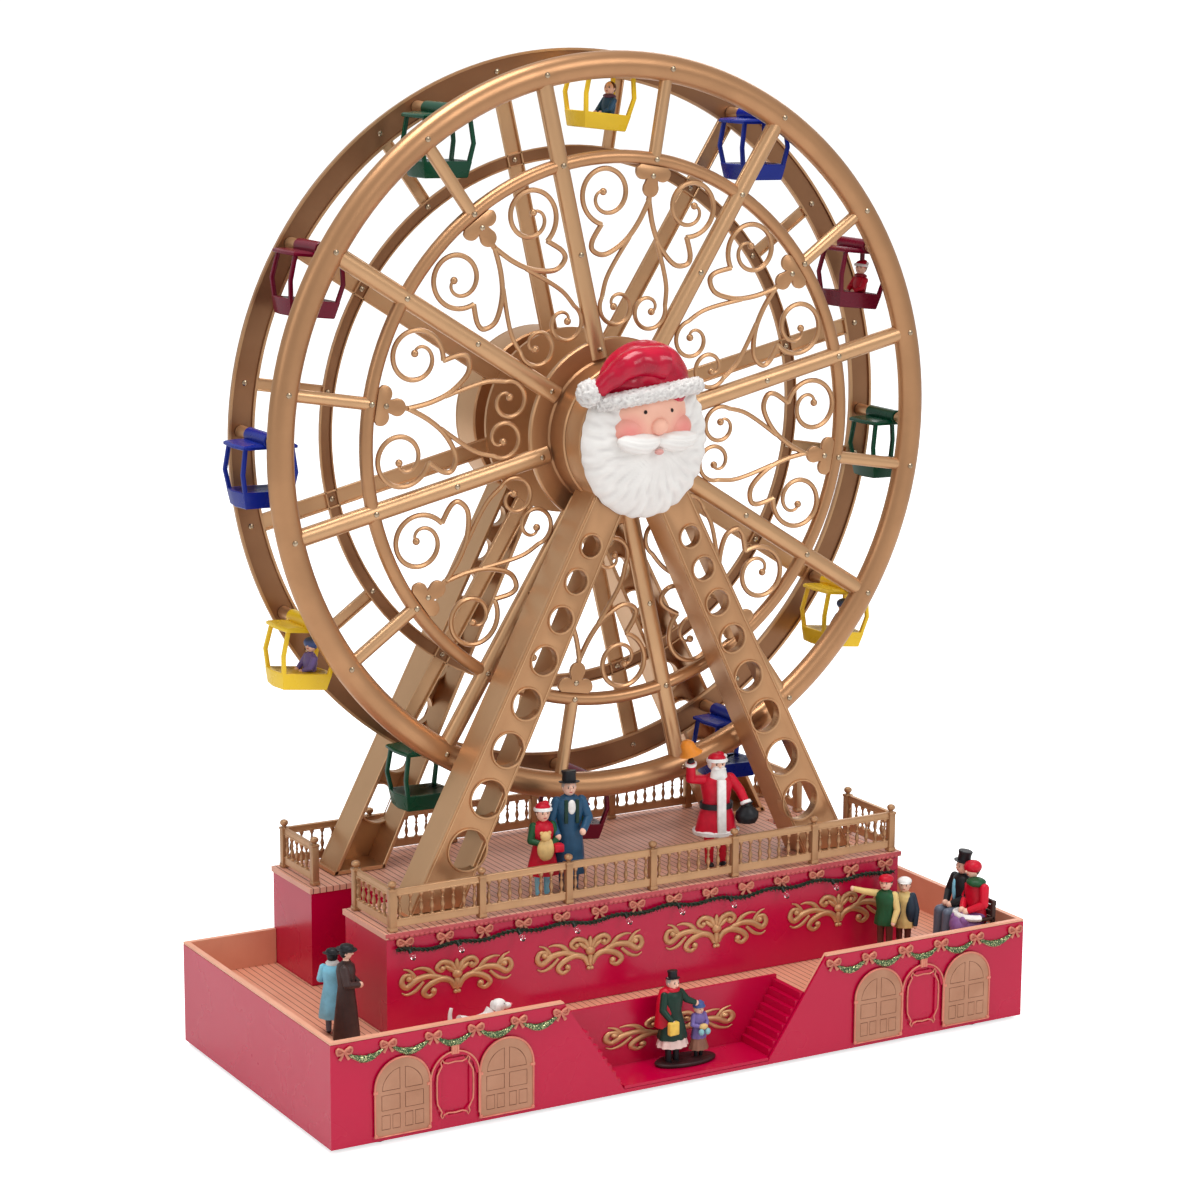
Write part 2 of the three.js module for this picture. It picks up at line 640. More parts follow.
function bottomPlate() {
  let plate = asSolid(box([-LINER_OUTER_X, -LINER_OUTER_Y, 0], [LINER_OUTER_X, LINER_OUTER_Y, BOTTOM_THICK]));
  const footX = BASE_HALF_X - FOOT_INSET_X;
  const footY = BASE_HALF_Y - FOOT_INSET_Y;
  const footProfile = [[0, -FOOT_HEIGHT], [FOOT_RADIUS, -FOOT_HEIGHT], [FOOT_RADIUS, EMBED], [0, EMBED]];
  for (const [x, y] of cornersOf(footX, footY)) {
    plate = join(plate, upright(footProfile, 10).translate(x, y, 0));
  }
  const half = STANDOFF_SIZE / 2;
  for (const [x, y] of cornersOf(BOARD_LENGTH / 2 - STANDOFF_SIZE, BOARD_WIDTH / 2 - STANDOFF_SIZE)) {
    const standoff = box([x - half, y - half, EMBED], [x + half, y + half, BOTTOM_THICK + STANDOFF_HEIGHT]);
    plate = join(plate, standoff.translate(BOARD_X, BOARD_Y, 0));
  }
  return plate;
}

const cornersOf = (x, y) => [[-x, -y], [x, -y], [x, y], [-x, y]];

// Plinth and deck share one plan with a notch in each end
function plinthPlan(grow, growRear) {
  const half = PLINTH_HALF + grow;
  const waist = PLINTH_WAIST + grow;
  const front = PLINTH_FRONT_Y - grow;
  const rear = BASE_HALF_Y + growRear;
  const notchFront = NOTCH_FRONT_Y + grow;
  const notchRear = NOTCH_REAR_Y - grow;
  const right = [
    [half, front], [half, notchFront], [waist, notchFront],
    [waist, notchRear], [half, notchRear], [half, rear],
  ];
  const left = right.map(([x, y]) => [-x, y]).reverse();
  return outline(right.concat(left));
}

function plinthShell() {
  const low = TERRACE_Z + SEAT_GAP;
  const outer = slabUp(plinthPlan(0, 0), low, PLINTH_TOP);
  const inner = slabUp(plinthPlan(-PLINTH_WALL, -PLINTH_WALL), low - OVERRUN, PLINTH_TOP - PLINTH_WALL);
  return cut(outer, inner);
}

function deckPanel() {
  return slabUp(plinthPlan(DECK_OVERHANG, 0), DECK_Z - DECK_THICK, DECK_Z);
}

// Railing along the whole front or rear edge, with a return at each end
function railing(lineY, returnY) {
  const floor = DECK_Z + SEAT_GAP;
  const half = RAIL_DEPTH / 2;
  const bay = 2 * RAIL_HALF_X / RAIL_BAYS;
  const away = Math.sign(returnY - lineY);
  let whole = railBar([-RAIL_HALF_X, lineY - half], [RAIL_HALF_X, lineY + half]);
  const posts = [];
  for (let i = 0; i <= RAIL_BAYS; i += 1) posts.push([-RAIL_HALF_X + i * bay, lineY]);
  for (const side of [-1, 1]) {
    const x = side * RAIL_HALF_X;
    const ends = [Math.min(lineY, returnY), Math.max(lineY, returnY)];
    whole = join(whole, railBar([x - half, ends[0]], [x + half, ends[1]]));
    posts.push([x, returnY]);
    for (const offset of balusterOffsets(Math.abs(returnY - lineY))) {
      whole = join(whole, baluster(x, lineY + away * offset));
    }
  }
  for (let i = 0; i < RAIL_BAYS; i += 1) {
    for (const offset of balusterOffsets(bay)) {
      whole = join(whole, baluster(-RAIL_HALF_X + i * bay + offset, lineY));
    }
  }
  for (const [x, y] of posts) whole = join(whole, railPost().translate(x, y, floor));
  return whole;
}

// Square post with a ball on top, turned with four sides
function railPost() {
  const corner = POST_SIZE / Math.SQRT2;
  const neck = FINIAL_RADIUS / 2;
  const top = POST_HEIGHT - SEAT_GAP;
  const profile = [
    [0, 0], [corner, 0], [corner, top], [neck, top],
    [FINIAL_RADIUS, top + FINIAL_RADIUS], [0, top + 2 * FINIAL_RADIUS - SEAT_GAP],
  ];
  return upright(profile, 4).rotateZ(Math.PI / 4);
}

function railBar([x0, y0], [x1, y1]) {
  const top = box([x0, y0, DECK_Z + TOP_RAIL_LOW], [x1, y1, DECK_Z + TOP_RAIL_HIGH]);
  const bottom = box([x0, y0, DECK_Z + BOTTOM_RAIL_LOW], [x1, y1, DECK_Z + BOTTOM_RAIL_HIGH]);
  return join(top, bottom);
}

function balusterOffsets(length) {
  const count = Math.floor((length - POST_SIZE) / BALUSTER_PITCH) + 1;
  const first = (length - (count - 1) * BALUSTER_PITCH) / 2;
  return Array.from({ length: count }, (_, i) => first + i * BALUSTER_PITCH);
}

function baluster(x, y) {
  const low = DECK_Z + BOTTOM_RAIL_HIGH - EMBED;
  const height = TOP_RAIL_LOW - BOTTOM_RAIL_HIGH + 2 * EMBED;
  const rod = new THREE.CylinderGeometry(BALUSTER_RADIUS, BALUSTER_RADIUS, height, 3);
  return rod.rotateX(Math.PI / 2).translate(x, y, low + height / 2);
}

// Wheel frame about the wheel's own centre, with its crest towards -Y
const RING_SHARES = [[-1, 0], [-0.85, 0.6], [0, 1], [0.85, 0.6], [1, 0]];
const INNER_RING_SHARES = [[-1, 0], [-0.6, 1], [0.6, 1], [1, 0]];
const SPOKE_SHARES = [[-1, 0], [0, 1], [1, 0]];

function ring(radius, half, crest, shares, segments) {
  return turned(shares.map(([across, out]) => [radius + across * half, -FRAME_BACK - out * crest]), segments);
}

function spoke(angle, fromRadius, toRadius, fromHalf, toHalf, crest) {
  const end = (radius, half) => SPOKE_SHARES.map(
    ([across, out]) => new THREE.Vector3(radius, -FRAME_BACK - out * crest, across * half),
  );
  return loft([end(fromRadius, fromHalf), end(toRadius, toHalf)]).rotateY(-angle);
}

function onWheel(angle, radius) {
  return [radius * Math.cos(angle), radius * Math.sin(angle)];
}

const gondolaAngle = (k) => GONDOLA_PHASE + k * 2 * Math.PI / GONDOLA_COUNT;

function wheelHub() {
  const back = -FRAME_BACK;
  const flange = back - FLANGE_THICK;
  const rim = flange - CUP_DEPTH;
  const bore = AXLE_RADIUS + SEAT_GAP;
  return turned([
    [bore, flange - HUB_CORE_LENGTH], [HUB_CORE_RADIUS, flange - HUB_CORE_LENGTH], [HUB_CORE_RADIUS, flange],
    [CUP_RADIUS - CUP_WALL, flange], [CUP_RADIUS - CUP_WALL, rim], [CUP_RADIUS, rim],
    [CUP_RADIUS, flange], [FLANGE_RADIUS, flange], [FLANGE_RADIUS, back], [bore, back],
  ], HUB_SEGMENTS);
}

function wheelFrame() {
  let frame = join(
    ring(WHEEL_RADIUS, RING_HALF, RING_CREST, RING_SHARES, RING_SEGMENTS),
    ring(INNER_RING_RADIUS, INNER_RING_HALF, INNER_RING_CREST, INNER_RING_SHARES, INNER_RING_SEGMENTS),
    wheelHub(),
  );
  const step = 2 * Math.PI / SPOKE_COUNT;
  for (let k = 0; k < SPOKE_COUNT; k += 1) {
    const angle = SPOKE_ANGLE + k * step;
    frame = join(
      frame,
      spoke(angle, SPOKE_INNER_RADIUS + CUP_WALL, WHEEL_RADIUS, SPOKE_HUB_HALF, SPOKE_RIM_HALF, SPOKE_CREST),
      spoke(angle + step / 2, INNER_RING_RADIUS, WHEEL_RADIUS, SHORT_SPOKE_HALF, SHORT_SPOKE_HALF, SHORT_SPOKE_CREST),
    );
  }
  return frame;
}

// Stub at the front of each gondola, and stand-off with the hinge pin at its rear
const BOSS_END = ROOF_HALF_Y + BOSS_OVERHANG;
const frontPeg = () => rodBack(PEG_RADIUS, -FRAME_BACK - EMBED, -BOSS_END - PEG_BOSS_GAP - SEAT_GAP, 5);
const rearPeg = () => join(
  rodBack(PEG_RADIUS, BOSS_END + PEG_BOSS_GAP, FRAME_BACK + EMBED, 6),
  rodBack(PIN_RADIUS, -BOSS_END - PEG_BOSS_GAP, BOSS_END + PEG_BOSS_GAP + EMBED, 6),
);

function withPegs(frame, peg) {
  let whole = frame;
  for (let k = 0; k < GONDOLA_COUNT; k += 1) {
    const [x, z] = onWheel(gondolaAngle(k), WHEEL_RADIUS);
    whole = join(whole, toGeometry(asSolid(peg())).translate(x, 0, z));
  }
  return whole;
}

// One scroll panel, mirrored about the short spoke it lies under
// Its points are [distance from the axle, distance to the side]
const STEM_SHARES = [[0, 0], [0.764, 0.168], [1.438, 0.42], [1.938, 0.803], [1.888, 1.099], [1.573, 1.15], [1, 1]];
const BRANCH_SHARES = [[0, 0], [0.406, 0.583], [0.71, 0.917], [1, 1]];

function largeCurl(steps) {
  const from = THREE.MathUtils.degToRad(181);
  const to = THREE.MathUtils.degToRad(-267);
  return spiral(LARGE_CURL_RADIUS, LARGE_CURL_SIDE, from, to, steps, (s) => (
    LARGE_CURL_SIZE * (1 + LARGE_CURL_OPEN_SHARE * (1 - s) ** 6 - LARGE_CURL_CLOSE_SHARE * s ** 7)
  ));
}

function smallCurl(steps) {
  const from = THREE.MathUtils.degToRad(67);
  const to = THREE.MathUtils.degToRad(425);
  return spiral(SMALL_CURL_RADIUS, SMALL_CURL_SIDE, from, to, steps, (s) => (
    SMALL_CURL_SIZE * (1 + SMALL_CURL_OPEN_SHARE * (1 - s) ** 4 - SMALL_CURL_CLOSE_SHARE * s ** 6)
  ));
}

function spiral(radius, side, from, to, steps, sizeAt) {
  const points = [];
  for (let i = 0; i <= steps; i += 1) {
    const s = i / steps;
    const angle = from + (to - from) * s;
    points.push([radius + sizeAt(s) * Math.cos(angle), side + sizeAt(s) * Math.sin(angle)]);
  }
  return points;
}

// A stem runs a little past its end, into the curl that starts there
function stem(shares, [fromR, fromT], [toR, toT], steps) {
  const curve = new THREE.SplineCurve(shares.map(([r, t]) => (
    new THREE.Vector2(fromR + r * (toR - fromR), fromT + t * (toT - fromT))
  )));
  const points = curve.getPoints(steps);
  const last = points.at(-1);
  last.add(last.clone().sub(points.at(-2)).setLength(SCROLL_HALF));
  return points.map(({ x, y }) => [x, y]);
}

// A strip with a ridge along its front, following points in the panel's plane
function scrollStrip(points) {
  const rings = points.map(([r, t], i) => {
    const before = points[Math.max(i - 1, 0)];
    const after = points[Math.min(i + 1, points.length - 1)];
    const along = new THREE.Vector2(after[0] - before[0], after[1] - before[1]).normalize();
    const back = -FRAME_BACK - SCROLL_BACK;
    return [
      new THREE.Vector3(r - along.y * SCROLL_HALF, back, t + along.x * SCROLL_HALF),
      new THREE.Vector3(r + along.y * SCROLL_HALF, back, t - along.x * SCROLL_HALF),
      new THREE.Vector3(r, back - SCROLL_CREST, t),
    ];
  });
  return loft(rings);
}

// Trefoil foot that stands on the inner ring, with its leaf towards the hub
function scrollFoot() {
  const side = FOIL_PAIR_SIDE + FOIL_RADIUS;
  const shoulder = FOIL_PAIR_RADIUS - FOIL_RADIUS;
  const half = [
    [SCROLL_BASE_RADIUS, FOIL_PAIR_SIDE], [FOIL_PAIR_RADIUS + SCROLL_HALF, side], [FOIL_PAIR_RADIUS - SCROLL_HALF, side],
    [shoulder, FOIL_PAIR_SIDE], [FOIL_TIP_RADIUS + FOIL_RADIUS * Math.SQRT1_2, FOIL_RADIUS * Math.SQRT1_2],
    [FOIL_TIP_RADIUS, FOIL_RADIUS], [FOIL_TIP_RADIUS - FOIL_RADIUS, SCROLL_HALF], [STEM_FOOT_RADIUS - SCROLL_HALF, SCROLL_HALF],
  ];
  return half.concat(half.map(([r, t]) => [r, -t]).reverse());
}

function scrollPanel() {
  const back = -FRAME_BACK - SCROLL_BACK;
  const front = back - SCROLL_CREST / 2;
  let panel = asSolid(slabBack(outline(scrollFoot()), front, back));
  const large = largeCurl(10);
  const small = smallCurl(7);
  const strips = [
    stem(STEM_SHARES, [STEM_FOOT_RADIUS, 0], large[0], 5),
    stem(BRANCH_SHARES, [BRANCH_RADIUS, BRANCH_SIDE], small[0], 2),
    large,
    small,
  ];
  for (const strip of strips) {
    const half = scrollStrip(strip);
    const otherHalf = half.clone().scale(1, 1, -1);
    panel = join(panel, half, otherHalf);
  }
  return panel;
}

// Gondola about its hinge pin
const hexagon = (halfX, tipX, halfY, z) => [
  [halfX, -halfY], [tipX, 0], [halfX, halfY], [-halfX, halfY], [-tipX, 0], [-halfX, -halfY],
].map(([x, y]) => new THREE.Vector3(x, y, z));

const squareAt = (x, y, z, size) => cornersOf(size / 2, size / 2).map(
  ([dx, dy]) => new THREE.Vector3(x + dx, y + dy, z),
);

// One skin: up the outside, over the rim and down to the floor
function gondolaTub() {
  const share = TUB_BOTTOM_SHARE;
  const tip = RIM_TIP_X - RIM_HALF_X;
  const insetX = RIM_HALF_X - TUB_WALL;
  const insetY = RIM_HALF_Y - TUB_WALL;
  return loft([
    hexagon(RIM_HALF_X * share, RIM_TIP_X * share, RIM_HALF_Y * share, -TUB_DROP),
    hexagon(RIM_HALF_X, RIM_TIP_X, RIM_HALF_Y, -RIM_DROP),
    hexagon(insetX, insetX + tip, insetY, -RIM_DROP),
    hexagon(insetX * share, (insetX + tip) * share, insetY * share, -TUB_DROP + TUB_FLOOR),
  ]);
}

function gondola() {
  const roofLow = -ROOF_TOP - ROOF_THICK;
  let car = join(
    loft([
      hexagon(ROOF_HALF_X, ROOF_TIP_X, ROOF_HALF_Y, roofLow),
      hexagon(ROOF_HALF_X, ROOF_TIP_X, ROOF_HALF_Y, -ROOF_TOP),
    ]),
    rodBack(BOSS_RADIUS, -BOSS_END, BOSS_END, 6),
    gondolaTub(),
  );
  for (const [sideX, sideY] of cornersOf(1, 1)) {
    car = join(car, loft([
      squareAt(sideX * POST_FOOT_X, sideY * POST_FOOT_Y, -RIM_DROP - EMBED, GONDOLA_POST),
      squareAt(sideX * POST_BEND_X, sideY * POST_BEND_Y, -POST_BEND_DROP, GONDOLA_POST),
      squareAt(sideX * POST_TOP_X, sideY * POST_TOP_Y, roofLow + EMBED, GONDOLA_POST),
    ]));
  }
  return cut(car, rodBack(PIN_RADIUS + RUN_GAP, -BOSS_END - OVERRUN, BOSS_END + OVERRUN, 6));
}

// Figures are turned bodies with arms, drawn in shares of their height from the floor up
const COAT_SHARES = [[0, 0], [0.15, 0], [0.11, 0.52], [0.15, 0.74], [0.04, 0.81]];
const SKIRT_SHARES = [[0, 0], [0.22, 0], [0.11, 0.5], [0.14, 0.7], [0.04, 0.79]];
const TROUSER_SHARES = [[0, 0], [0.1, 0], [0.12, 0.45], [0.14, 0.72], [0.04, 0.8]];
const TOP_HAT_SHARES = [[0.075, 0.85], [0.12, 0.91], [0.075, 0.92], [0.085, 1], [0, 1]];
const CAP_SHARES = [[0.08, 0.86], [0.1, 0.9], [0.05, 1], [0, 1]];
const BONNET_SHARES = [[0.08, 0.85], [0.11, 0.89], [0.08, 0.98], [0, 1]];
const SHOULDER_SHARE = 0.05;
const WRIST_SHARE = 0.035;

const scaled = (shares, size) => shares.map(([r, h]) => [r * size, h * size]);
const atShares = (shares, size) => shares.map((share) => share * size);

function ball(radius, segments, rings) {
  return new THREE.SphereGeometry(radius, segments, rings).rotateX(Math.PI / 2);
}

// A tapered limb between two points given as shares of the figure's height
function limb(height, from, to, fromShare, toShare) {
  const start = new THREE.Vector3(...from).multiplyScalar(height);
  const end = new THREE.Vector3(...to).multiplyScalar(height);
  const along = end.clone().sub(start);
  const rod = new THREE.CylinderGeometry(toShare * height, fromShare * height, along.length(), 4);
  rod.applyQuaternion(new THREE.Quaternion().setFromUnitVectors(new THREE.Vector3(0, 1, 0), along.normalize()));
  const middle = start.add(end).divideScalar(2);
  return rod.translate(middle.x, middle.y, middle.z);
}

function person(height, body, hat, arms) {
  let figure = asSolid(upright(scaled(body.concat(hat), height), 6));
  for (const [from, to] of arms) figure = join(figure, limb(height, from, to, SHOULDER_SHARE, WRIST_SHARE));
  return figure;
}

const ARMS_FOLDED = [
  [[-0.13, 0, 0.7], [-0.1, -0.14, 0.54]],
  [[0.13, 0, 0.7], [0.08, -0.15, 0.54]],
];
const ARMS_DOWN = [
  [[-0.13, 0, 0.7], [-0.18, -0.03, 0.42]],
  [[0.13, 0, 0.7], [0.18, -0.03, 0.42]],
];
const ARMS_POINTING = [
  [[-0.13, 0, 0.7], [-0.36, -0.08, 0.72]],
  [[0.13, 0, 0.7], [0.18, -0.03, 0.42]],
];
const ARMS_RINGING = [
  [[-0.13, 0, 0.72], [-0.22, -0.06, 0.95]],
  [[0.13, 0, 0.7], [0.3, -0.06, 0.5]],
];
const placed = (shape, [x, y], floor) => toGeometry(asSolid(shape)).translate(x, y, floor + SEAT_GAP);

function deckCouple() {
  return join(
    placed(person(ADULT_HEIGHT, COAT_SHARES, TOP_HAT_SHARES, ARMS_DOWN), ADULT_PLACE, DECK_Z),
    placed(person(GIRL_HEIGHT, SKIRT_SHARES, CAP_SHARES, ARMS_FOLDED), GIRL_PLACE, DECK_Z),
  );
}

const BELL_SHARES = [[0, 0], [0.07, 0], [0.05, 0.07], [0.02, 0.11], [0, 0.11]];
const BAG_SHARES = [[0, 0], [0.09, 0.02], [0.11, 0.1], [0.07, 0.18], [0, 0.2]];
const BELL_PLACE_SHARES = [-0.22, -0.06, 0.93];
const BAG_PLACE_SHARES = [0.34, -0.06, 0.36];

function bellRinger() {
  const height = RINGER_HEIGHT;
  const bell = upright(scaled(BELL_SHARES, height), 6).translate(...atShares(BELL_PLACE_SHARES, height));
  const bag = upright(scaled(BAG_SHARES, height), 6).translate(...atShares(BAG_PLACE_SHARES, height));
  const body = person(height, COAT_SHARES, CAP_SHARES, ARMS_RINGING);
  return placed(join(body, bell, bag), RINGER_PLACE, DECK_Z);
}

function terraceCouple() {
  return join(
    placed(person(TERRACE_ADULT_HEIGHT, COAT_SHARES, TOP_HAT_SHARES, ARMS_FOLDED), TERRACE_ADULT_PLACE, TERRACE_Z),
    placed(person(TERRACE_LADY_HEIGHT, SKIRT_SHARES, BONNET_SHARES, ARMS_FOLDED), TERRACE_LADY_PLACE, TERRACE_Z),
  );
}

// The dog sits facing +X, in shares of its height
const DOG_CHEST_SHARES = [[0, 0], [0.34, 0], [0.3, 0.3], [0.2, 0.62], [0, 0.68]];
const DOG_HAUNCH_SHARE = 0.32;
const DOG_HAUNCH_PLACE_SHARES = [-0.34, 0, 0.31];
const DOG_HEAD_SHARE = 0.24;
const DOG_HEAD_PLACE_SHARES = [0.14, 0, 0.76];
const DOG_NOSE_SHARES = [[0.14, 0, 0.74], [0.52, 0, 0.7], 0.15, 0.09];
const DOG_TAIL_SHARES = [[-0.4, 0, 0.14], [-0.56, 0, 0.08], 0.08, 0.05];
const DOG_PAW_SHARES = [[0.1, 0.12, 0.5], [0.3, 0.14, 0.06], 0.09, 0.06];

function dog() {
  const height = DOG_HEIGHT;
  const haunch = ball(DOG_HAUNCH_SHARE * height, 5, 4).translate(...atShares(DOG_HAUNCH_PLACE_SHARES, height));
  const head = ball(DOG_HEAD_SHARE * height, 5, 4).translate(...atShares(DOG_HEAD_PLACE_SHARES, height));
  const [tailFrom, tailTo, ...tailSizes] = DOG_TAIL_SHARES;
  const tailEnd = [tailTo[0] * DOG_LENGTH / DOG_HEIGHT, tailTo[1], tailTo[2]];
  const paw = limb(height, ...DOG_PAW_SHARES);
  const body = join(
    upright(scaled(DOG_CHEST_SHARES, height), 6), haunch, head, limb(height, ...DOG_NOSE_SHARES),
    limb(height, tailFrom, tailEnd, ...tailSizes), paw, mirrorY(paw),
  );
  return placed(body, DOG_PLACE, TERRACE_Z);
}

function motherAndChild() {
  const floor = ENTRANCE_FLOOR_Z;
  const middleX = (MOTHER_PLACE[0] + CHILD_PLACE[0]) / 2;
  const oval = upright([[0, 0], [OVAL_BASE_HALF_X, 0], [OVAL_BASE_HALF_X, OVAL_BASE_THICK], [0, OVAL_BASE_THICK]], 14)
    .scale(1, OVAL_BASE_HALF_Y / OVAL_BASE_HALF_X, 1);
  return join(
    placed(oval, [middleX, MOTHER_PLACE[1]], floor),
    placed(person(MOTHER_HEIGHT, SKIRT_SHARES, BONNET_SHARES, ARMS_FOLDED), MOTHER_PLACE, floor),
    placed(person(CHILD_HEIGHT, SKIRT_SHARES, CAP_SHARES, ARMS_FOLDED), CHILD_PLACE, floor),
  );
}

function twoBoys() {
  const [x, y] = BOY_PLACE;
  const shorter = BOY_HEIGHT * SHORTER_BOY_SHARE;
  return join(
    placed(person(BOY_HEIGHT, TROUSER_SHARES, CAP_SHARES, ARMS_POINTING), [x - BOY_SPACING / 2, y], TERRACE_Z),
    placed(person(shorter, TROUSER_SHARES, CAP_SHARES, ARMS_DOWN), [x + BOY_SPACING / 2, y], TERRACE_Z),
  );
}

// Bench with two sitters, facing -Y before it is turned
const SITTER_SHARES = [[0, 0], [0.17, 0], [0.17, 0.58], [0.05, 0.7]];
const THIGH_SHARES = [[0, 0, 0.5], [0, -0.28, 0.46], 0.15, 0.13];
const SHIN_SHARES = [[0, -0.28, 0.46], [0, -0.26, 0.03], 0.14, 0.1];
const WIDE_TOP_HAT_SHARES = [[0.12, 0.78], [0.18, 0.86], [0.115, 0.88], [0.125, 1.02], [0, 1.02]];
const WIDE_CAP_SHARES = [[0.12, 0.78], [0.15, 0.86], [0.08, 0.98], [0, 0.98]];

function benchCouple() {
  const half = BENCH_LENGTH / 2;
  const depth = BENCH_DEPTH / 2;
  const board = BENCH_BOARD;
  let bench = join(
    box([-half, -depth, BENCH_SEAT_HEIGHT - board], [half, depth, BENCH_SEAT_HEIGHT]),
    box([-half, depth - board, BENCH_SEAT_HEIGHT - board], [half, depth, BENCH_BACK_HEIGHT]),
    box([-half, -depth, 0], [-half + board, depth, BENCH_SEAT_HEIGHT]),
    box([half - board, -depth, 0], [half, depth, BENCH_SEAT_HEIGHT]),
  );
  const hats = [WIDE_TOP_HAT_SHARES, WIDE_CAP_SHARES];
  for (const [i, hat] of hats.entries()) {
    const x = (i - 0.5) * SITTER_SPACING;
    const body = upright(scaled(SITTER_SHARES.concat(hat), SITTER_HEIGHT), 6);
    bench = join(
      bench,
      body.translate(x, 0, BENCH_SEAT_HEIGHT - EMBED),
      limb(SITTER_HEIGHT, ...THIGH_SHARES).translate(x, 0, 0),
      limb(SITTER_HEIGHT, ...SHIN_SHARES).translate(x, 0, 0),
    );
  }
  return toGeometry(bench).rotateZ(-Math.PI / 2).translate(...BENCH_PLACE, TERRACE_Z + SEAT_GAP);
}

// A rider sits at one end of the tub and looks along -X
const RIDER_SHARES = [[0, 0], [0.17, 0], [0.19, 0.62], [0.05, 0.7], [0.16, 0.8], [0.15, 0.88], [0, 1]];

function passenger() {
  const base = -TUB_DROP + TUB_FLOOR + SEAT_GAP;
  const rider = upright(scaled(RIDER_SHARES, PASSENGER_HEIGHT), 6).scale(RIDER_DEPTH_SHARE, 1, 1);
  return rider.translate(PASSENGER_X, 0, base);
}

// Leg as a channel open towards the wheel, standing at the front right
function legOutline(inset, low) {
  const height = AXLE_Z - DECK_Z;
  const innerSlope = (LEG_FOOT_INNER - LEG_TOP_INNER) / height;
  const outerSlope = (LEG_FOOT_OUTER - LEG_TOP_OUTER) / height;
  const inner = (z) => LEG_FOOT_INNER - innerSlope * (z - DECK_Z) + inset * Math.hypot(1, innerSlope);
  const outer = (z) => LEG_FOOT_OUTER - outerSlope * (z - DECK_Z) - inset * Math.hypot(1, outerSlope);
  return outline([[inner(low), low], [outer(low), low], [outer(AXLE_Z), AXLE_Z], [inner(AXLE_Z), AXLE_Z]]);
}

function legChannel() {
  const foot = DECK_Z + SEAT_GAP;
  let leg = cut(
    slabBack(legOutline(0, foot), LEG_FRONT_Y, LEG_REAR_Y),
    slabBack(legOutline(LEG_FLANGE, foot + LEG_PLATE), LEG_FRONT_Y + LEG_PLATE, LEG_REAR_Y + OVERRUN),
  );
  for (let i = 0; i < LEG_HOLE_COUNT; i += 1) {
    const t = i / (LEG_HOLE_COUNT - 1);
    const place = LEG_HOLE_PLACE_SHARES[0] * t + LEG_HOLE_PLACE_SHARES[1] * t ** 2;
    const growth = LEG_HOLE_GROWTH_SHARES[0] * t + LEG_HOLE_GROWTH_SHARES[1] * t ** 2;
    const x = THREE.MathUtils.lerp(LEG_HOLE_HIGH_X, LEG_HOLE_LOW_X, place);
    const z = THREE.MathUtils.lerp(AXLE_Z - LEG_HOLE_HIGH_DROP, DECK_Z + LEG_HOLE_LOW_RISE, place);
    const radius = THREE.MathUtils.lerp(LEG_HOLE_SMALL, LEG_HOLE_LARGE, growth) / 2;
    const hole = rodBack(radius, LEG_FRONT_Y - OVERRUN, LEG_FRONT_Y + LEG_PLATE + OVERRUN, 10);
    leg = cut(leg, hole.translate(x, 0, z));
  }
  return leg;
}

const hubClearance = (radius, front, back) => (
  rodBack(radius + SEAT_GAP, front, back, HUB_SEGMENTS).translate(0, 0, AXLE_Z)
);

function frontLeg(channel) {
  const drumBack = DRUM_BACK_Y + SEAT_GAP;
  const wheelClearance = CUP_RADIUS + RUN_GAP;
  return cut(
    channel,
    hubClearance(DRUM_RADIUS, LEG_FRONT_Y - OVERRUN, drumBack),
    hubClearance(wheelClearance, DRUM_BACK_Y, LEG_REAR_Y + OVERRUN),
  );
}

function rearLeg(channel) {
  const mirrored = mirrorY(toGeometry(channel)).translate(0, 2 * WHEEL_MID_Y, 0);
  const back = 2 * WHEEL_MID_Y - LEG_FRONT_Y;
  const front = 2 * WHEEL_MID_Y - LEG_REAR_Y;
  return cut(
    mirrored,
    hubClearance(HOUSING_RADIUS, HOUSING_FRONT_Y - SEAT_GAP, back + OVERRUN),
    hubClearance(CUP_RADIUS + RUN_GAP, front - OVERRUN, HOUSING_FRONT_Y),
  );
}

// Hub drum, drive housing and what turns in them, about the axle line
function hubDrum() {
  const floor = DRUM_FRONT_Y + DRUM_WALL;
  return turned([
    [0, DRUM_FRONT_Y], [DRUM_RADIUS, DRUM_FRONT_Y], [DRUM_RADIUS, DRUM_BACK_Y],
    [DRUM_RADIUS - DRUM_WALL, DRUM_BACK_Y], [DRUM_RADIUS - DRUM_WALL, floor],
    [BEARING_CORE_RADIUS, floor], [BEARING_CORE_RADIUS, floor + BEARING_LENGTH],
    [BEARING_BORE, floor + BEARING_LENGTH], [BEARING_BORE, floor], [0, floor],
  ], HUB_SEGMENTS);
}

function motorHousing() {
  const floor = HOUSING_FRONT_Y + DRUM_WALL;
  const coreFront = HOUSING_FRONT_Y - BEARING_LENGTH + DRUM_WALL;
  return turned([
    [BEARING_BORE, coreFront], [BEARING_CORE_RADIUS, coreFront], [BEARING_CORE_RADIUS, HOUSING_FRONT_Y],
    [HOUSING_RADIUS, HOUSING_FRONT_Y], [HOUSING_RADIUS, HOUSING_BACK_Y],
    [HOUSING_RADIUS - DRUM_WALL, HOUSING_BACK_Y], [HOUSING_RADIUS - DRUM_WALL, floor], [BEARING_BORE, floor],
  ], HUB_SEGMENTS);
}

function motorCover() {
  const front = HOUSING_BACK_Y + SEAT_GAP;
  return rodBack(HOUSING_RADIUS, front, front + COVER_THICK, HUB_SEGMENTS);
}

function axle() {
  const front = DRUM_FRONT_Y + DRUM_WALL + SEAT_GAP;
  return rodBack(AXLE_RADIUS, front, HOUSING_BACK_Y - OVERRUN, 12);
}

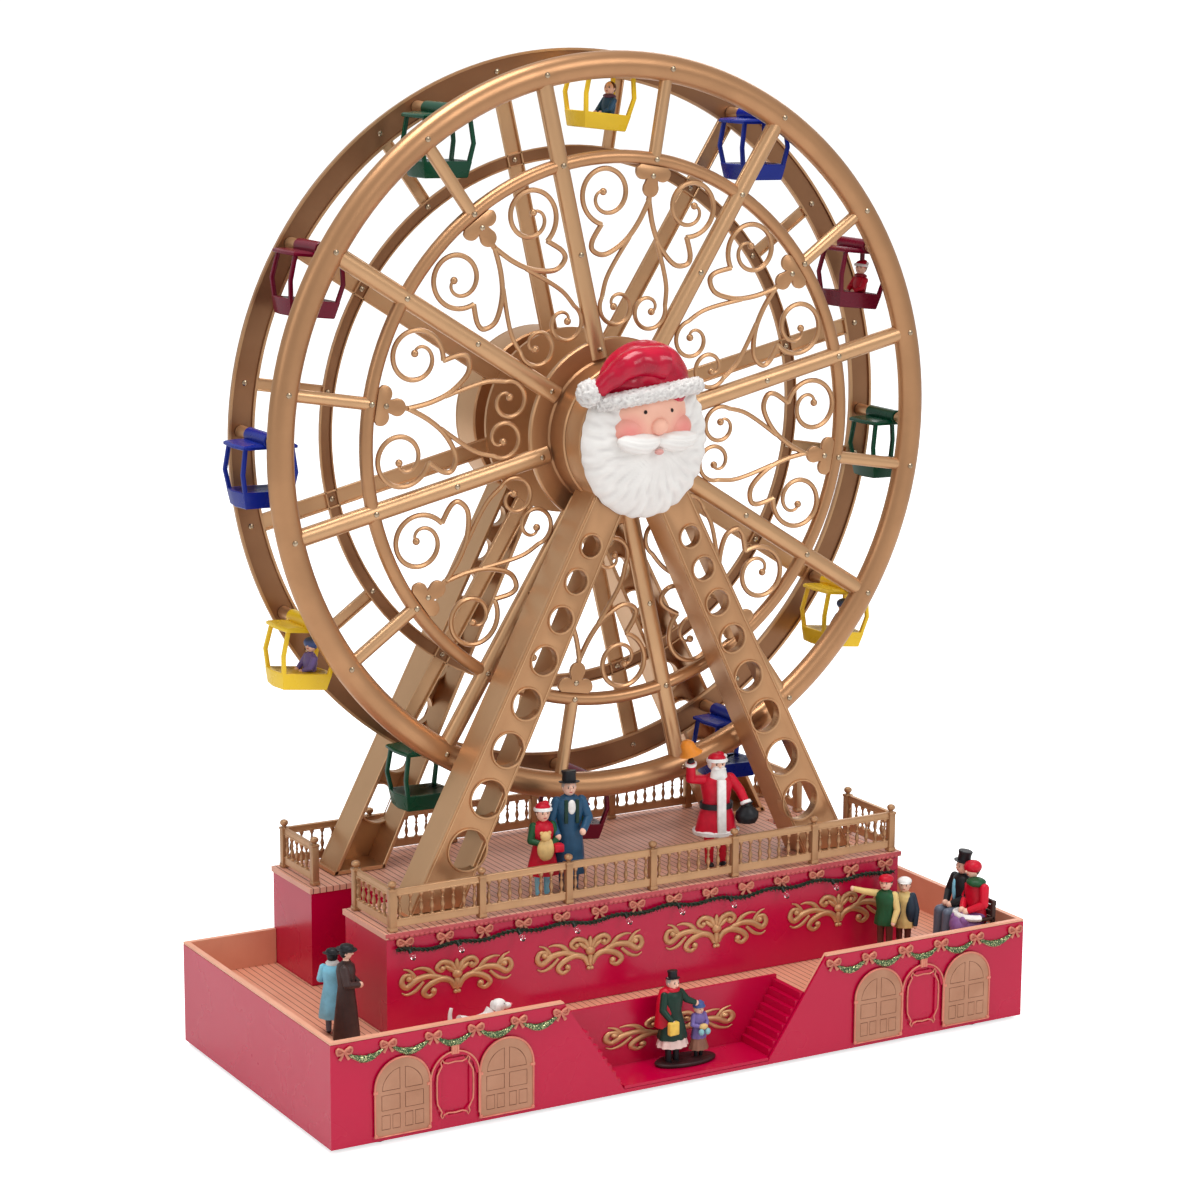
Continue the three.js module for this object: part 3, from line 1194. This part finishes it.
function bush(front) {
  const back = front + BEARING_LENGTH - SEAT_GAP;
  return turned([[BUSH_BORE, front], [BUSH_RADIUS, front], [BUSH_RADIUS, back], [BUSH_BORE, back]], 12);
}

// Spur gear with straight flanks, its teeth from an angle onwards
const TOOTH_PLACE_SHARES = [-0.25, -0.12, 0.12, 0.25];

function gearShape(teeth, pitchRadius, bore, phase) {
  const points = [];
  for (let tooth = 0; tooth < teeth; tooth += 1) {
    for (const [i, place] of TOOTH_PLACE_SHARES.entries()) {
      const angle = phase + (tooth + place) * 2 * Math.PI / teeth;
      const atTip = i === 1 || i === 2;
      const radius = atTip ? pitchRadius + TOOTH_REACH : pitchRadius - TOOTH_ROOT;
      points.push([radius * Math.cos(angle), radius * Math.sin(angle)]);
    }
  }
  const shape = outline(points);
  const hole = new THREE.Path();
  hole.absarc(0, 0, bore, 0, 2 * Math.PI, true);
  shape.holes.push(hole);
  return shape;
}

function driveGear() {
  const phase = Math.PI / 2 + Math.PI / GEAR_TEETH;
  const shape = gearShape(GEAR_TEETH, GEAR_PITCH_RADIUS, AXLE_RADIUS + SEAT_GAP, phase);
  return slabBack(shape, GEAR_FRONT_Y, GEAR_FRONT_Y + GEAR_THICK, 6);
}

function motorPinion() {
  const shape = gearShape(PINION_TEETH, PINION_PITCH_RADIUS, MOTOR_SHAFT_RADIUS + RUN_GAP, -Math.PI / 2);
  return slabBack(shape, -GEAR_THICK / 2, GEAR_THICK / 2, 4);
}

function gearMotor() {
  const bodyFront = GEAR_FRONT_Y + GEAR_THICK + MOTOR_GAP;
  return join(
    rodBack(MOTOR_RADIUS, bodyFront, HOUSING_BACK_Y, 16),
    rodBack(MOTOR_SHAFT_RADIUS, GEAR_FRONT_Y, bodyFront + EMBED, 8),
  ).add(asSolid(rodBack(MOTOR_NOSE_RADIUS, bodyFront - MOTOR_GAP / 2, bodyFront + EMBED, 10)));
}

// Face relief, modelled about the axle line and cut flat at the back
function flattened(geometry, x, depth, z, middle) {
  return geometry.scale(x, depth, z).translate(...middle);
}

function hubFace() {
  const back = DRUM_FRONT_Y - SEAT_GAP;
  const beard = beardShape(back);
  const unit = () => ball(1, 9, 6);
  const face = flattened(unit(), FACE_HALF, FACE_DEPTH, FACE_HALF, [0, back, FACE_RISE]);
  const nose = ball(NOSE_RADIUS, 6, 4).translate(0, back - FACE_DEPTH, FACE_RISE - NOSE_RADIUS / 2);
  const cap = flattened(unit(), CAP_HALF, FACE_DEPTH, CAP_HEIGHT, [0, back, CAP_RISE]);
  const pompom = ball(POMPOM_RADIUS, 6, 5).translate(POMPOM_X, back - POMPOM_RADIUS / 2, POMPOM_RISE);
  const tail = loft([
    squareAt(0, 0, 0, 2 * POMPOM_RADIUS).map((p) => new THREE.Vector3(POMPOM_X, back + p.x / 2, POMPOM_RISE + p.y / 2)),
    squareAt(0, 0, 0, 2 * POMPOM_RADIUS).map((p) => new THREE.Vector3(0, back + p.x, CAP_RISE + TRIM_RADIUS + p.y)),
  ]);
  const trim = flattened(unit(), TRIM_HALF, FACE_DEPTH + TRIM_RADIUS / 2, TRIM_RADIUS, [0, back, TRIM_RISE]);
  const moustaches = [-1, 1].map((side) => {
    const lobe = flattened(ball(1, 6, 5), MOUSTACHE_HALF, MOUSTACHE_THICK, MOUSTACHE_THICK, [side * MOUSTACHE_HALF, 0, 0]);
    return lobe.rotateY(side * MOUSTACHE_TURN).translate(0, back - FACE_DEPTH + MOUSTACHE_THICK / 2, FACE_RISE - 2 * NOSE_RADIUS);
  });
  const whole = join(beard, face, nose, cap, pompom, tail, trim, ...moustaches);
  const reach = BASE_WIDTH;
  return cut(whole, box([-reach, back, -reach], [reach, back + reach, reach]));
}

// The beard's outline, fuller to the sides and drawn to a soft point below
function beardShape(back) {
  const steps = 16;
  const edge = (share, y) => Array.from({ length: steps }, (_, i) => {
    const angle = 2 * Math.PI * i / steps;
    const drop = Math.sin(angle) < 0 ? BEARD_DROP : BEARD_TOP;
    const fringe = 1 + (i % 2) * BEARD_FRINGE / BEARD_HALF;
    return new THREE.Vector3(
      share * fringe * BEARD_HALF * Math.cos(angle), y, share * fringe * drop * Math.sin(angle),
    );
  });
  return loft(BEARD_RING_SHARES.map(([width, depth]) => edge(width, back + EMBED - depth * (BEARD_DEPTH + EMBED))));
}

// Rear wall fittings and the board
function switchKnob() {
  const half = SWITCH_STEM / 2;
  const rise = SWITCH_HEIGHT / 2;
  const flangeBack = TRAY_INNER_Y - SEAT_GAP;
  const stemBody = box([-half, flangeBack - EMBED, -rise], [half, BASE_HALF_Y + SWITCH_REACH, rise]);
  const flange = box(
    [-SWITCH_FLANGE / 2, flangeBack - SWITCH_FLANGE_THICK, -SWITCH_FLANGE / 2],
    [SWITCH_FLANGE / 2, flangeBack, SWITCH_FLANGE / 2],
  );
  return join(stemBody, flange);
}

function powerJack() {
  const back = BASE_HALF_Y + SEAT_GAP + JACK_FLANGE_THICK;
  const front = back - JACK_LENGTH;
  const seat = BASE_HALF_Y + SEAT_GAP;
  const boreFront = back - JACK_BORE_DEPTH;
  return turned([
    [0, front], [JACK_RADIUS, front], [JACK_RADIUS, seat], [JACK_FLANGE, seat],
    [JACK_FLANGE, back], [JACK_BORE, back], [JACK_BORE, boreFront], [0, boreFront],
  ], 8).translate(JACK_X, 0, SWITCH_Z);
}

function controlBoard() {
  const low = BOTTOM_THICK + STANDOFF_HEIGHT + SEAT_GAP;
  const half = [BOARD_LENGTH / 2, BOARD_WIDTH / 2];
  const top = low + BOARD_THICK;
  const board = box([-half[0], -half[1], low], [half[0], half[1], top]);
  const chip = box([-STANDOFF_SIZE, -STANDOFF_SIZE, low], [STANDOFF_SIZE, STANDOFF_SIZE, top + BOARD_THICK]);
  const capacitorHeight = STANDOFF_HEIGHT + BOARD_THICK;
  const capacitor = upright([
    [0, 0], [STANDOFF_SIZE / 2, 0], [STANDOFF_SIZE / 2, capacitorHeight], [0, capacitorHeight],
  ], 10).translate(half[0] - 2 * STANDOFF_SIZE, 0, low + BOARD_THICK / 2);
  return toGeometry(join(board, chip, capacitor)).translate(BOARD_X, BOARD_Y, 0);
}

// Assembly
const model = new THREE.Group();
model.position.set(0, (RELIEF_DEPTH - SWITCH_REACH) / 2, FOOT_HEIGHT);

const base = new THREE.Group();
base.add(
  piece('base_tray', baseTray(), redFinish),
  piece('terrace_liner', terraceLiner(), plasticFinish(TAN)),
  piece('entrance_steps', entranceSteps(), redFinish),
  piece('bottom_plate', bottomPlate(), plasticFinish(BLACK)),
  piece('plinth_shell', plinthShell(), redFinish),
  piece('deck_panel', deckPanel(), plasticFinish(DECK)),
  piece('front_railing', railing(RAIL_FRONT_Y, RETURN_FRONT_Y), goldFinish),
  piece('rear_railing', railing(RAIL_REAR_Y, RETURN_REAR_Y), goldFinish),
  piece('power_jack', powerJack(), plasticFinish(BLACK)),
  piece('control_board', controlBoard(), plasticFinish(GREEN_BOARD)),
);
const knob = piece('switch_knob', switchKnob(), plasticFinish(BLACK));
knob.position.set(SWITCH_X - SWITCH_TRAVEL / 2, 0, SWITCH_Z);
base.add(knob);

const stand = new THREE.Group();
const channel = legChannel();
const rightFront = toGeometry(frontLeg(channel));
const rightRear = toGeometry(rearLeg(channel));
stand.add(
  piece('front_right_leg', rightFront, goldFinish),
  piece('front_left_leg', mirrorX(rightFront), goldFinish),
  piece('rear_right_leg', rightRear, goldFinish),
  piece('rear_left_leg', mirrorX(rightRear), goldFinish),
);
const hub = new THREE.Group();
hub.position.z = AXLE_Z;
hub.add(
  piece('front_hub_drum', hubDrum(), goldFinish),
  piece('front_bush', bush(DRUM_FRONT_Y + DRUM_WALL + SEAT_GAP), metalFinish(BRASS)),
  piece('motor_housing', motorHousing(), goldFinish),
  piece('rear_bush', bush(HOUSING_FRONT_Y - BEARING_LENGTH + DRUM_WALL), metalFinish(BRASS)),
  piece('motor_cover', motorCover(), goldFinish),
  piece('hub_face', hubFace(), paintFinish(WHITE)),
);
const motor = piece('gear_motor', gearMotor(), metalFinish(STEEL));
motor.position.z = GEAR_DISTANCE;
const pinion = piece('motor_pinion', motorPinion(), plasticFinish(NYLON));
pinion.position.set(0, GEAR_FRONT_Y + GEAR_THICK / 2, GEAR_DISTANCE);
hub.add(motor, pinion);
stand.add(hub);

const wheel = new THREE.Group();
wheel.position.set(0, WHEEL_MID_Y, AXLE_Z);
const frame = wheelFrame();
const rearFrame = toGeometry(withPegs(mirrorY(toGeometry(frame)), rearPeg));
wheel.add(
  piece('front_wheel_frame', withPegs(frame, frontPeg), goldFinish),
  piece('rear_wheel_frame', rearFrame, goldFinish),
  piece('axle', axle().translate(0, -WHEEL_MID_Y, 0), metalFinish(STEEL)),
  piece('drive_gear', driveGear().translate(0, -WHEEL_MID_Y, 0), plasticFinish(NYLON)),
);
const panelGeometry = toGeometry(scrollPanel());
for (let k = 0; k < SPOKE_COUNT; k += 1) {
  const angle = SPOKE_ANGLE + (k + 0.5) * 2 * Math.PI / SPOKE_COUNT;
  const panel = piece(`scroll_panel_${k + 1}`, panelGeometry, goldFinish);
  panel.rotation.y = -angle;
  wheel.add(panel);
}

const gondolaGeometry = toGeometry(gondola());
const passengerGeometry = passenger();
for (let k = 0; k < GONDOLA_COUNT; k += 1) {
  const number = String(k + 1).padStart(2, '0');
  const colour = GONDOLA_COLOURS[k % GONDOLA_COLOURS.length];
  const loaded = k % 2 === 1;
  const hung = new THREE.Group();
  const [x, z] = onWheel(gondolaAngle(k), WHEEL_RADIUS);
  hung.position.set(x, 0, z);
  hung.rotation.y = loaded ? LOADED_TILT : EMPTY_TILT;
  hung.add(piece(`gondola_${number}`, gondolaGeometry, plasticFinish(colour)));
  if (loaded) hung.add(piece(`passenger_${number}`, passengerGeometry, paintFinish(RED)));
  wheel.add(hung);
}

const figures = new THREE.Group();
figures.add(
  piece('deck_couple', deckCouple(), paintFinish(WHITE)),
  piece('bell_ringer', bellRinger(), paintFinish(RED)),
  piece('terrace_couple', terraceCouple(), paintFinish(WHITE)),
  piece('dog', dog(), paintFinish(WHITE)),
  piece('mother_and_child', motherAndChild(), paintFinish(WHITE)),
  piece('two_boys', twoBoys(), paintFinish(WHITE)),
  piece('bench_couple', benchCouple(), paintFinish(BLACK)),
);

model.add(base, stand, wheel, figures);
const village = new THREE.Group();
village.add(model);

export default village;
